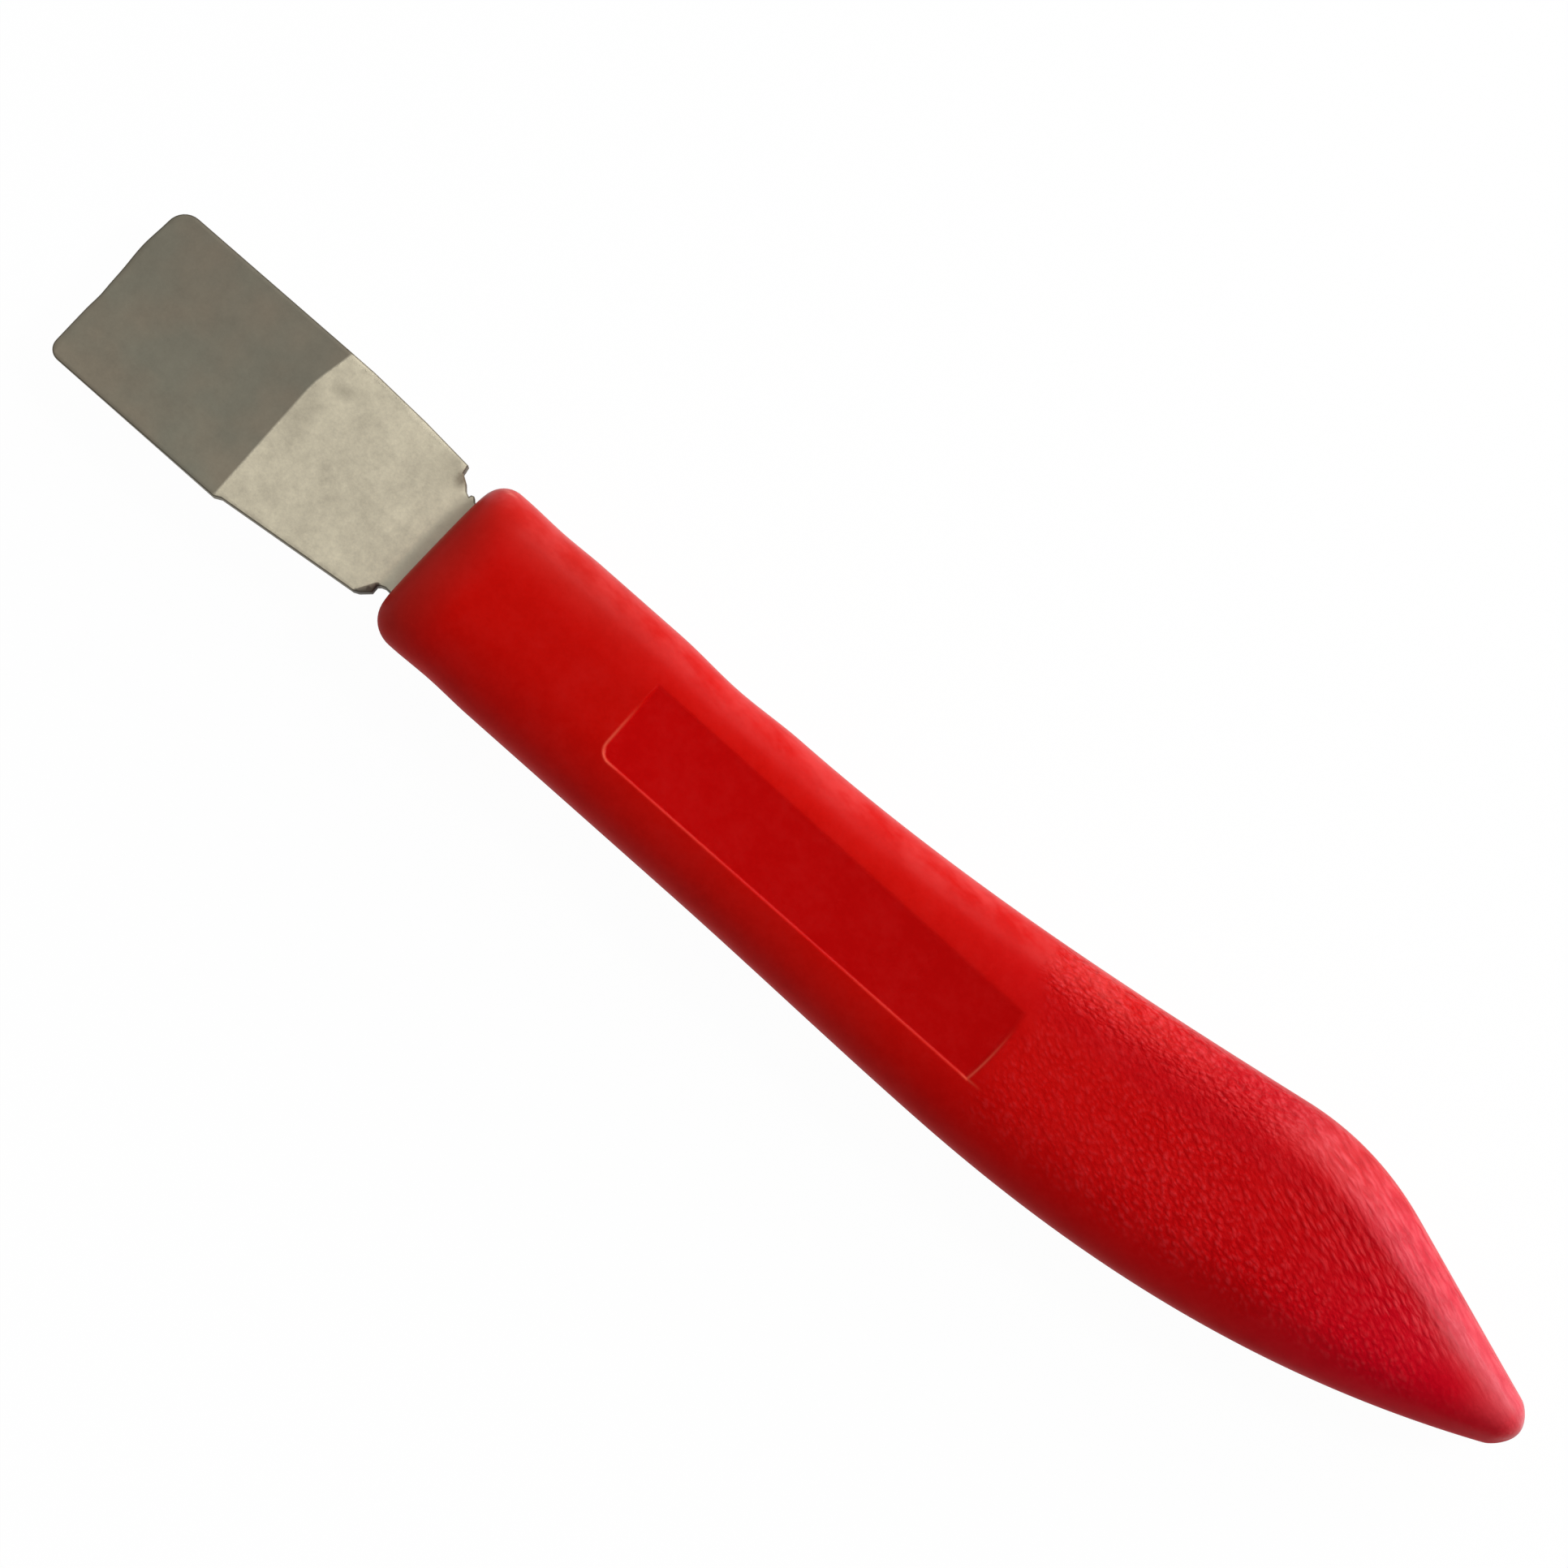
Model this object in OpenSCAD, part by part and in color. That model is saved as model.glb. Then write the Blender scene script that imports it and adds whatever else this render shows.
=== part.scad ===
// Hive tool: a flat steel scraper blade whose tang is held in a moulded plastic handle.
// The blade points along -X, the handle's hump is on the +Y side and +Z is up.
// The origin is on the handle's flat underside, below the middle of the handle's length.

/* [Blade] */
// Width of the blade over its ground bevel
blade_w = 20; // [17:0.5:24]
// Thickness of the steel strip
blade_t = 3; // [2:0.25:4]
// How far the wide end lies off the tang's axis, towards -Y
blade_offset = 0.55; // [0:0.05:1.4]
// Length of the ground bevel
bevel_len = 22.3; // [14:0.1:28]
// Thickness left at the working edge
edge_t = 0.6; // [0.3:0.1:1.2]
// Angle by which the working edge is out of square
edge_skew = 1.8; // [0:0.2:5]
// Radius of the corners of the working edge
edge_corner_r = 2.2; // [0.6:0.1:3]
// Length of the taper between the bevel and the shoulders
taper_len = 18.8; // [10:0.2:24]
// How much later the taper starts on the +Y side
taper_lag = 4; // [0:0.5:8]
// How far the -Y side steps in at the start of the taper
taper_step = 0.4; // [0:0.1:1]
// Width across the shoulders
shoulder_w = 17; // [15:0.2:18]
// How far the shoulders lie off the tang's axis, towards +Y
shoulder_offset = 0.3; // [0:0.1:0.6]
// Chamfer in the corners between the shoulders and the neck
shoulder_chamfer = 1.6; // [0.4:0.1:2]

/* [Tang] */
// Width of the neck and of the front of the tang
tang_w = 12.6; // [9:0.2:13]
// Length of the neck between the shoulders and the handle
neck_len = 1.3; // [0.8:0.1:4]
// Length of the tang inside the handle
tang_len = 92; // [75:1:110]
// Width of the tang at its rear end
tang_end_w = 8; // [6.5:0.5:9]
// Diameter of the holes that the moulding runs through
anchor_d = 5; // [3:0.5:6]
// Number of these holes
anchor_count = 3; // [1:1:3]
// Distance from the front of the handle to the first hole
anchor_start = 16; // [10:1:20]
// Distance between two holes
anchor_pitch = 26; // [12:1:28]
// Gap between the tang and the moulding
tang_clearance = 0.05; // [0.02:0.01:0.2]

/* [Handle] */
// Length of the handle
handle_len = 139.4; // [132:0.2:155]
// Thickness of the handle
handle_t = 15; // [12:0.5:18]
// Width of the grip at its front
grip_w = 20; // [18:0.1:24]
// Length of the straight grip
grip_len = 40; // [20:1:60]
// Distance from the front to the corner of the hump
hump_x = 109.8; // [95:0.2:115]
// Distance from the tang's axis to the corner of the hump
hump_y = 17.8; // [14:0.2:20]
// Angle at which the side rises to the hump
hump_rise = 9.5; // [4:0.5:12]
// Length over which the hump is rounded, on each side of its corner
hump_round = 8; // [4:0.5:12]
// How far the other side flares out over the length of the grip
grip_flare = 0.1; // [0:0.05:1]
// Distance from the front to the widest point of that side
keel_x = 74; // [65:1:90]
// Distance from the tang's axis to that widest point
keel_y = 10.6; // [9.5:0.1:13]
// Slope of that side where it meets the nose
keel_slope = 0.47; // [0.3:0.01:0.6]
// Squareness of the section: 2 is an ellipse, and more is squarer
crown = 3; // [2:0.1:4]
// Share of its height that the top loses at the hump's side
hump_fall = 0.25; // [0:0.01:0.4]
// Share of its height that the top loses at the other side, across from the hump
keel_fall = 0.12; // [0:0.01:0.4]
// Length over which these two falls set in, before the hump's corner
fall_lead = 15; // [8:0.5:20]
// Length over which they level out again, after the hump's corner
fall_run = 24; // [12:0.5:26]
// Width of the flat land under the grip, which the tool rests on
land_w = 11; // [6:0.5:14]

/* [Front of the handle] */
// Length of the round of the front rim, seen from the side
rim_len = 6; // [2:0.2:8]
// Depth of that round
rim_depth = 4.4; // [1:0.1:5]
// Radius of the front corner on the hump side
hump_corner_r = 2.6; // [1:0.1:3.2]
// Radius of the front corner on the other side
keel_corner_r = 3.2; // [1:0.1:3.2]
// Angle by which the front is out of square
front_skew = 2.2; // [0:0.2:4]

/* [Nose of the handle] */
// Distance from the front to where the handle starts to thin
thin_x = 100; // [85:1:115]
// Thickness where the nose starts to close
nose_t = 9; // [6:0.5:11]
// Slope of the top where the nose starts to close
nose_fall = 0.12; // [0:0.02:0.3]
// Width where the nose starts to close
nose_w = 5.8; // [4:0.2:8]
// Distance from the tang's axis to the middle of the nose
nose_y = 5.4; // [2:0.1:7]
// Length over which the nose closes
nose_r = 2.1; // [1.5:0.1:4]
// Squareness of the section at the nose
nose_crown = 2.2; // [2:0.1:4]
// Distance from the hump's corner to where the section starts to get rounder
rounder_gap = 5; // [0:0.5:12]

/* [Label panel] */
// Distance from the front of the handle to the panel
panel_start = 26.3; // [15:0.1:35]
// Length of the panel
panel_len = 48.7; // [30:0.1:55]
// Width of the panel at its front
panel_w = 9.2; // [6:0.1:10]
// How far its edge on the hump side runs in, towards the rear
panel_taper = 0.5; // [0:0.1:2]
// Depth of the panel's floor below the crown of the handle, on the tang's axis
panel_depth = 0.45; // [0.4:0.05:1.2]
// Angle by which the floor leans down, away from the hump side
panel_tilt = 2.8; // [0:0.1:4]
// Radius of the round corner of the panel
panel_corner_r = 1.1; // [0.5:0.1:3]

/* [Hidden] */

// Small overlap for cuts that pass through a face
over = 1;
front_x = -handle_len / 2;
nose_x = handle_len - nose_r;
mid_z = handle_t / 2;

shoulder_x = -neck_len;
shoulder_room = shoulder_w / 2 - shoulder_offset - tang_w / 2;
chamfer = min(shoulder_chamfer, shoulder_room);
grind_x = shoulder_x - taper_len;
edge_x = grind_x - bevel_len;

// Least wall that the rounds of the handle's front leave beside the tang and above it
side_wall = 0.5;
cover_wall = 1.6;
side_room = grip_w / 2 - tang_w / 2 - side_wall;
cover_room = handle_t / 2 - blade_t / 2 - cover_wall;
rim = min(rim_depth, cover_room);
hump_corner = min(hump_corner_r, side_room);
keel_corner = min(keel_corner_r, side_room);
front_len = max(rim_len, hump_corner, keel_corner);

// Share by which the section would bulge below the flat land if it weren't cut there
land_bulge = (1 - (land_w / grip_w) ^ crown) ^ (-1 / crown) - 1;

// Points round one section, distance between sections and steps over a rounded end
ring_points = 48;
ring_step = 3;
round_steps = 7;
// The nose ends in a small flat at this angle of its round
last_angle = 84;

// Rise from 0 at low to 1 at high
function smooth(low, high, x) =
    let (u = max(0, min(1, (x - low) / (high - low))))
    u ^ 2 * (3 - 2 * u);

// Height of a cubic curve at x, through [x, y, slope] at its two ends
function cubic(a, b, x) =
    let (len = b[0] - a[0], u = (x - a[0]) / len)
    a[1] * (2 * u ^ 3 - 3 * u ^ 2 + 1) + b[1] * (3 * u ^ 2 - 2 * u ^ 3)
    + len * (a[2] * (u ^ 3 - 2 * u ^ 2 + u) + b[2] * (u ^ 3 - u ^ 2));

// How far a rounded end of radius r stands in at a distance x from that end
function round_in(x, r) = x >= r ? 0 : r - sqrt(r ^ 2 - (r - x) ^ 2);

// Share of its full size that the nose keeps at x
function nose_share(x) = x <= nose_x ? 1 : sqrt(1 - ((x - nose_x) / nose_r) ^ 2);

// Hump side of the outline: straight grip, rise, rounded hump and straight fall to the nose
fall_slope = (nose_y + nose_w / 2 - hump_y) / (nose_x - hump_x);
grip_end = [grip_len, grip_w / 2, 0];
hump_start = [hump_x - hump_round, hump_y - hump_round * tan(hump_rise), tan(hump_rise)];
hump_end = [hump_x + hump_round, hump_y + hump_round * fall_slope, fall_slope];

function hump_side(x) =
    x <= grip_len ? grip_w / 2
    : x <= hump_start[0] ? cubic(grip_end, hump_start, x)
    : x <= hump_end[0] ? cubic(hump_start, hump_end, x)
    : hump_y + (x - hump_x) * fall_slope;

// Other side of the outline: straight grip, swell to its widest point, then one sweep to the nose
flare_slope = -grip_flare / grip_len;
flare_end = [grip_len, -grip_w / 2 - grip_flare, flare_slope];
keel_wide = [keel_x, -keel_y, 0];
keel_end = [nose_x, nose_y - nose_w / 2, keel_slope];

function keel_side(x) =
    x <= grip_len ? flare_slope * x - grip_w / 2
    : x <= keel_x ? cubic(flare_end, keel_wide, x)
    : x <= nose_x ? cubic(keel_wide, keel_end, x)
    : keel_end[1] + (x - nose_x) * keel_slope;

// Half of the handle's thickness, which falls towards the nose
function half_t(x) =
    x <= thin_x ? handle_t / 2
    : x <= nose_x ? cubic([thin_x, handle_t / 2, 0], [nose_x, nose_t / 2, -nose_fall], x)
    : nose_t / 2 - (x - nose_x) * nose_fall;

function signed_power(v, p) = sign(v) * abs(v) ^ p;

// Squareness of the section at x, which gets rounder towards the nose
function crown_at(x) = crown + (nose_crown - crown) * smooth(hump_x + rounder_gap, nose_x, x);

// The top keeps its height up to this share of the half width
fall_share = 0.5;

// Share of its height that the top loses at x and at a share of the half width
function shoulder_fall(x, share) =
    let (
        deepest = share > 0 ? hump_fall : keel_fall,
        along = smooth(hump_x - fall_lead, hump_x, x) * (1 - smooth(hump_x, hump_x + fall_run, x))
    )
    deepest * along * smooth(fall_share, 1, abs(share));

// One section of the handle at a distance x from its front, as a closed ring of points
function ring(x) =
    let (
        top = hump_side(x) - round_in(x, hump_corner),
        low = keel_side(x) + round_in(x, keel_corner),
        mid = (top + low) / 2,
        half_w = (top - low) / 2 * nose_share(x),
        half_h = (half_t(x) - round_in(x, rim_len) * rim / rim_len) * nose_share(x),
        lean = tan(front_skew) * (1 - x / handle_len),
        power = 2 / crown_at(x)
    )
    [for (i = [0 : ring_points - 1])
        let (
            a = 360 * i / ring_points,
            share = signed_power(cos(a), power),
            y = mid + half_w * share,
            rise = half_h * signed_power(sin(a), power),
            under = max(0, mid_z + rise * (1 + land_bulge)),
            z = rise < 0 ? under : mid_z + rise * (1 - shoulder_fall(x, share))
        )
        [front_x + x + lean * y, y, z]];

// Distances of the sections from the front: close together at both rounded ends
body_steps = ceil((nose_x - front_len) / ring_step);
stations = concat(
    [for (i = [0 : round_steps - 1]) front_len * (1 - cos(90 * i / round_steps))],
    [for (i = [0 : body_steps]) front_len + (nose_x - front_len) * i / body_steps],
    [for (i = [1 : round_steps]) nose_x + nose_r * sin(last_angle * i / round_steps)]
);

// Solid through a row of rings, closed at both ends
module ring_solid(rings) {
    n = len(rings[0]);
    last = len(rings) - 1;
    points = [for (r = rings) for (p = r) p];
    front_cap = [[for (i = [0 : n - 1]) i]];
    rear_cap = [[for (i = [n - 1 : -1 : 0]) last * n + i]];
    skin = [for (k = [0 : last - 1]) for (i = [0 : n - 1])
        let (a = k * n + i, b = k * n + (i + 1) % n)
        each [[a, a + n, b], [b, a + n, b + n]]];
    polyhedron(points, concat(front_cap, rear_cap, skin));
}

// Outline of the neck and the tang, grown by a clearance on every side
module tang_outline(grow) {
    front = shoulder_x - over;
    half_w = tang_w / 2 + grow;
    half_end = tang_end_w / 2 + grow;
    polygon([
        [front, -half_w],
        [0, -half_w],
        [tang_len + grow, -half_end],
        [tang_len + grow, half_end],
        [0, half_w],
        [front, half_w]
    ]);
}

module anchor_holes(d, h) {
    for (i = [0 : anchor_count - 1])
        translate([anchor_start + i * anchor_pitch, 0, -h / 2])
            cylinder(d = d, h = h, $fn = 48);
}

// Outline of the blade in front of the neck, with round corners at the working edge
module blade_outline() {
    r = edge_corner_r;
    top = blade_w / 2 - blade_offset;
    low = -blade_w / 2 - blade_offset;
    top_shoulder = shoulder_offset + shoulder_w / 2;
    low_shoulder = shoulder_offset - shoulder_w / 2;
    corner_x = shoulder_x - chamfer;
    neck_y = tang_w / 2;
    step_run = 2 * taper_step;
    lean = tan(edge_skew);
    // The centres of the two corner rounds touch both the side and the skewed edge
    top_c = [edge_x + lean * (blade_w / 2 - r) + r / cos(edge_skew), top - r];
    low_c = [edge_x - lean * (blade_w / 2 - r) + r / cos(edge_skew), low + r];
    to_edge = r * [-cos(edge_skew), sin(edge_skew)];
    polygon([
        [shoulder_x, neck_y],
        [corner_x, neck_y + chamfer],
        [corner_x, top_shoulder],
        [grind_x + taper_lag, top],
        [top_c[0], top],
        top_c + to_edge,
        low_c + to_edge,
        [low_c[0], low],
        [grind_x, low],
        [grind_x + step_run, low + taper_step],
        [corner_x, low_shoulder],
        [corner_x, -neck_y - chamfer],
        [shoulder_x, -neck_y]
    ]);
    for (c = [top_c, low_c])
        translate(c) circle(r = r, $fn = 48);
}

// Wedge that grinds the bevel from the top face down to the working edge
module bevel_cut() {
    fall = blade_t - edge_t;
    reach = bevel_len + blade_w * tan(edge_skew);
    depth = fall * reach / bevel_len;
    rotate([90, 0, 0])
        linear_extrude(2 * blade_w, center = true)
            polygon([
                [grind_x, blade_t / 2],
                [grind_x - reach, blade_t / 2 - depth],
                [grind_x - reach, blade_t / 2 + over],
                [grind_x, blade_t / 2 + over]
            ]);
}

module blade() {
    color("silver")
        translate([front_x, 0, mid_z])
            difference() {
                linear_extrude(blade_t, center = true) {
                    blade_outline();
                    tang_outline(0);
                }
                bevel_cut();
                anchor_holes(anchor_d, blade_t + 2 * over);
            }
}

// Space that the tang takes in the moulding, with the plugs left standing in it
module tang_space() {
    space_t = blade_t + 2 * tang_clearance;
    difference() {
        linear_extrude(space_t, center = true) tang_outline(tang_clearance);
        anchor_holes(anchor_d - 2 * tang_clearance, space_t + 2 * over);
    }
}

// Label panel: one front corner is round and the others are sharp
module panel_space() {
    r = panel_corner_r;
    half_w = panel_w / 2;
    translate([panel_start, 0, handle_t / 2 - panel_depth])
        rotate([panel_tilt, 0, 0])
            linear_extrude(panel_depth + over) {
                polygon([
                    [r, -half_w],
                    [panel_len, -half_w],
                    [panel_len, half_w - panel_taper],
                    [0, half_w],
                    [0, r - half_w]
                ]);
                translate([r, r - half_w]) circle(r = r, $fn = 48);
            }
}

module handle() {
    color("red")
        difference() {
            ring_solid([for (x = stations) ring(x)]);
            translate([front_x, 0, mid_z]) {
                tang_space();
                panel_space();
            }
        }
}

blade();
handle();
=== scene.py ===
import math

import bpy
import numpy as np
from mathutils import Matrix, Vector
from mathutils.geometry import delaunay_2d_cdt


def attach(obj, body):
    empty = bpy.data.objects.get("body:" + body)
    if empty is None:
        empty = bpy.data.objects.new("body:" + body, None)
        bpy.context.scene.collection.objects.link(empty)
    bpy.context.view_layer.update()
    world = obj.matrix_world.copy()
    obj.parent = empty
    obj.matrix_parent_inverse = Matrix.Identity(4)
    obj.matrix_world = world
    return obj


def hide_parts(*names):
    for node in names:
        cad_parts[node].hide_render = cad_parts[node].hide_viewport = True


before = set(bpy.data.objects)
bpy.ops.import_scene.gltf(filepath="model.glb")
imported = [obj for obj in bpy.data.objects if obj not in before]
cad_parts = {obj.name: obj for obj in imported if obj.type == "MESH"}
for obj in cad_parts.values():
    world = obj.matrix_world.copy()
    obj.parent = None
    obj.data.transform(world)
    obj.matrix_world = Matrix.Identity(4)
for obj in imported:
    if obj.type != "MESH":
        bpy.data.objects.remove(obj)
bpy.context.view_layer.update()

# Sizes in millimetres. Distances along the tool count from the handle's front, heights from the table.
MM = 0.001
HANDLE_LEN = 139.4
HANDLE_T = 15
FRONT_X = -HANDLE_LEN / 2
MID_Z = HANDLE_T / 2

# Outline of the handle, with its hump on the +Y side and its keel on the -Y side
GRIP_W = 20
GRIP_LEN = 40
HUMP_X = 109.8
HUMP_Y = 17.78
HUMP_RISE = math.tan(math.radians(9.5))
HUMP_ROUND = 8
KEEL_GRIP_Y = 10.1
KEEL_X = 74
KEEL_Y = 10.59
KEEL_SLOPE = 0.47

# Section of the handle: how square it is, its flat land, and how its top falls off beside the hump
CROWN = 3.0
NOSE_CROWN = 2.2
ROUNDER_X = HUMP_X + 5
LAND_W = 11
FALL_START = HUMP_X - 15
FALL_END = HUMP_X + 24
FALL_SHARE = 0.5
HUMP_FALL = 0.25
KEEL_FALL = 0.12

# Front rim
RIM_LEN = 6
RIM_DEPTH = 4.4
HUMP_CORNER_R = 2.6
KEEL_CORNER_R = 3.2
FRONT_LEAN = math.tan(math.radians(2.2))

# Nose, and the straight fall of the outline from the hump to it
THIN_X = 100
NOSE_T = 9
NOSE_FALL = 0.12
NOSE_W = 5.8
NOSE_Y = 5.4
NOSE_R = 2.1
NOSE_X = HANDLE_LEN - NOSE_R
FALL_SLOPE = (NOSE_Y + NOSE_W / 2 - HUMP_Y) / (NOSE_X - HUMP_X)

# Label panel, and the painted highlight line that lies just outside its edge
PANEL_START = 26.3
PANEL_LEN = 48.7
PANEL_END = PANEL_START + PANEL_LEN
PANEL_W = 9.2
PANEL_LOW = -PANEL_W / 2
PANEL_TAPER = 0.5
PANEL_BULGE = 0.35
PANEL_DEPTH = 0.16
PANEL_CORNER_R = 1.4
PANEL_WALL = 0.36
PANEL_SOFT = 0.35
LIP_W = 0.12
LIP_OUT = 0.05
LIP_TAIL = 2.2
LIP_TAIL_W = 0.13

# Mesh of the handle: steps and rows along it, lanes over half of it, and the angle up to which it is smooth
GRIP_STEP = 0.5
FINE_STEP = 0.1
REAR_STEP = 0.35
RIM_ROWS = 18
NOSE_ROWS = 14
NOSE_TURN = math.radians(84)
LANES = 34
LANE_STEP = 0.08
LANES_SETTLE = 25
HANDLE_SMOOTH = 50

# Blade and tang
BLADE_T = 3
EDGE_T = 0.6
BLADE_TOP = 9.45
BLADE_LOW = -10.55
SHOULDER_X = -1.3
GRIND_X = -20.1
EDGE_X = -42.36
EDGE_LEAN = math.tan(math.radians(1.8))
EDGE_CORNER_R = 2.2
LOW_CORNER_R = 1.4
EDGE_ROUND = 0.16
TANG_W = 12.6
TANG_END_W = 8
TANG_LEN = 92
TANG_GAP = 0.05
ANCHOR_D = 5
ANCHORS = (16, 42, 68)

# Corners of the worn +Y shoulder, from the neck out to the side that tapers to it
HUMP_SHOULDER = [
    (-0.43, 6.73),
    (-0.74, 6.63),
    (-0.82, 6.36),
    (-1.37, 6.58),
    (-1.97, 7.23),
    (-2.8, 7.76),
    (-2.95, 8.66),
    (-9, 9.14),
    (GRIND_X + 4, BLADE_TOP),
]

# Corners of the worn -Y shoulder, from the side that tapers to it in to the neck
KEEL_SHOULDER = [
    (GRIND_X, BLADE_LOW),
    (GRIND_X + 0.8, BLADE_LOW + 0.4),
    (-3.29, -8.37),
    (-2.72, -8.11),
    (-1.75, -7.22),
    (-1.76, -6.44),
    (-1.47, -6.19),
    (-1.02, -6.03),
    (-0.41, -6.05),
]

# Worn facet at the -Y shoulder: two points on its top edge, how steep it is and how far it reaches
FACET = np.array([(-3.09, -7.93), (-2.04, -6.2)])
FACET_FALL = 0.9
FACET_REACH = 0.8

# Mesh of the blade: its steps and points, half the width of two soft edges, and the angle for smoothing
OUTLINE_STEP = 0.35
FACE_STEP = 0.5
EDGE_POINTS = 24
CORNER_POINTS = 9
HOLE_POINTS = 24
GRIND_SOFT = 0.12
FACET_SOFT = 0.03
BLADE_SMOOTH = 25

# Points closer than this are one point, and a triangle smaller than this is only rounding
SAME_POINT = 1e-7
SLIVER = 1e-5
# The least that 1 plus the cosine of a corner's turn counts as, which keeps sharp mitres short
MITRE_LIMIT = 0.4


# Curves

def smooth(start, end, x):
    """Goes softly from 0 at start to 1 at end, which may be the smaller of the two."""
    share = np.clip((x - start) / (end - start), 0, 1)
    return share * share * (3 - 2 * share)


def bell(distance, width):
    """Bell curve that is 1 at a distance of 0."""
    return np.exp(-((distance / width) ** 2))


def spot(x, y, middle, widths):
    """Soft spot that is 1 in its middle."""
    return bell(x - middle[0], widths[0]) * bell(y - middle[1], widths[1])


def cubic(a, b, x):
    """Cubic curve through (x, y, slope) at its two ends."""
    span = b[0] - a[0]
    u = (x - a[0]) / span
    heights = a[1] * (2 * u**3 - 3 * u**2 + 1) + b[1] * (3 * u**2 - 2 * u**3)
    return heights + span * (a[2] * (u**3 - 2 * u**2 + u) + b[2] * (u**3 - u**2))


def arc(centre, radius, start, end, count):
    """Points on an arc, with angles in degrees."""
    angles = np.radians(np.linspace(start, end, count))
    return [(centre[0] + radius * math.cos(a), centre[1] + radius * math.sin(a)) for a in angles]


def round_in(x, radius):
    """How far a rounded end stands in at a distance x from that end."""
    left = np.clip(radius - x, 0, radius)
    return radius - np.sqrt(radius**2 - left**2)


def dip(x, middle, depth, reach):
    """Shallow dip in a side of the outline, over a reach on each side of its middle."""
    return depth * (1 - smooth(0, reach, np.abs(x - middle)))


def spaced(start, end, step):
    """Even steps after the start, up to and with the end."""
    return np.linspace(start, end, math.ceil((end - start) / step) + 1)[1:]


# Meshes

def inside(loop, points):
    """Which of the points lie inside a closed loop."""
    x, y = points[:, 0, None], points[:, 1, None]
    ax, ay = loop[None, :, 0], loop[None, :, 1]
    bx, by = np.roll(ax, -1, axis=1), np.roll(ay, -1, axis=1)
    crosses = (ay > y) != (by > y)
    rise = np.where(by == ay, 1, by - ay)
    left = x < ax + (y - ay) * (bx - ax) / rise
    return (crosses & left).sum(axis=1) % 2 == 1


def divide(corners, step):
    """Closed loop through the corners with points no further apart than a step."""
    loop = []
    for a, b in zip(corners, corners[1:] + corners[:1]):
        pieces = max(1, math.ceil(math.dist(a, b) / step))
        for i in range(pieces):
            loop.append((a[0] + (b[0] - a[0]) * i / pieces, a[1] + (b[1] - a[1]) * i / pieces))
    return np.array(loop)


def moved_in(loop, distance):
    """Loop moved in by a distance, for a loop that goes round anticlockwise."""
    before = loop - np.roll(loop, 1, axis=0)
    after = np.roll(loop, -1, axis=0) - loop
    before /= np.linalg.norm(before, axis=1)[:, None]
    after /= np.linalg.norm(after, axis=1)[:, None]
    normal_before = np.column_stack([-before[:, 1], before[:, 0]])
    normal_after = np.column_stack([-after[:, 1], after[:, 0]])
    mitre = normal_before + normal_after
    scale = 1 + (normal_before * normal_after).sum(axis=1)
    return loop + distance * mitre / np.maximum(scale, MITRE_LIMIT)[:, None]


def triangle_areas(corners):
    """Area of each triangle in a list of three corners."""
    u = corners[:, 1] - corners[:, 0]
    v = corners[:, 2] - corners[:, 0]
    return np.abs(u[:, 0] * v[:, 1] - u[:, 1] * v[:, 0]) / 2


def fill(outer, holes, extra):
    """Triangles that fill an outer loop round its holes, with extra points inside.

    The outer loop runs anticlockwise and its holes clockwise. Their points come first, in this order.
    """
    points = np.concatenate([outer, *holes, extra])
    edges = []
    start = 0
    for loop in [outer, *holes]:
        count = len(loop)
        edges += [(start + i, start + (i + 1) % count) for i in range(count)]
        start += count
    made = delaunay_2d_cdt([Vector(p) for p in points], edges, [], 0, SAME_POINT)
    coords = np.array([list(v) for v in made[0]])
    triangles = np.array(made[2])
    source = np.array([origin[0] if origin else -1 for origin in made[3]])
    corners = coords[triangles]
    centres = corners.mean(axis=1)
    in_area = inside(outer, centres) & (triangle_areas(corners) > SLIVER)
    for hole in holes:
        in_area &= ~inside(hole, centres)

    # A triangle on a loop is judged by the way it passes the loop's edge, which also holds for slivers
    forwards = set(edges)
    backwards = {(b, a) for a, b in edges}
    filled = []
    for (a, b, c), centre_in in zip(source[triangles].tolist(), in_area):
        sides = {(a, b), (b, c), (c, a)}
        if (centre_in or sides & forwards) and not sides & backwards:
            filled.append((a, b, c))
    return np.array(filled)


def grid_faces(rows, columns):
    """Quads of a grid that closes on itself across its columns."""
    faces = []
    for row in range(rows - 1):
        for column in range(columns):
            a = row * columns + column
            b = row * columns + (column + 1) % columns
            faces.append((a, a + columns, b + columns, b))
    return faces


def new_mesh(name, points, faces, smooth_angle):
    """Object made of points in millimetres, smooth over edges up to an angle in degrees."""
    mesh = bpy.data.meshes.new(name)
    mesh.from_pydata((points * MM).tolist(), [], faces)
    mesh.validate()
    mesh.update()
    mesh.polygons.foreach_set("use_smooth", [True] * len(mesh.polygons))
    mesh.set_sharp_from_angle(angle=math.radians(smooth_angle))
    piece = bpy.data.objects.new(name, mesh)
    bpy.context.scene.collection.objects.link(piece)
    return piece


def set_marks(piece, marks):
    """Gives the points of a piece named numbers that its material can read."""
    for name, values in marks.items():
        attribute = piece.data.attributes.new(name, "FLOAT", "POINT")
        attribute.data.foreach_set("value", np.asarray(values, np.float32))


# Shape of the handle

def nose_share(x):
    """Share of its full size that the nose keeps at x."""
    past = np.clip((x - NOSE_X) / NOSE_R, 0, 1)
    return np.sqrt(1 - past**2)


def front_dip(x):
    """The grip is a little slimmer behind its front rim."""
    return dip(x, middle=8.5, depth=0.13, reach=5)


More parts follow.
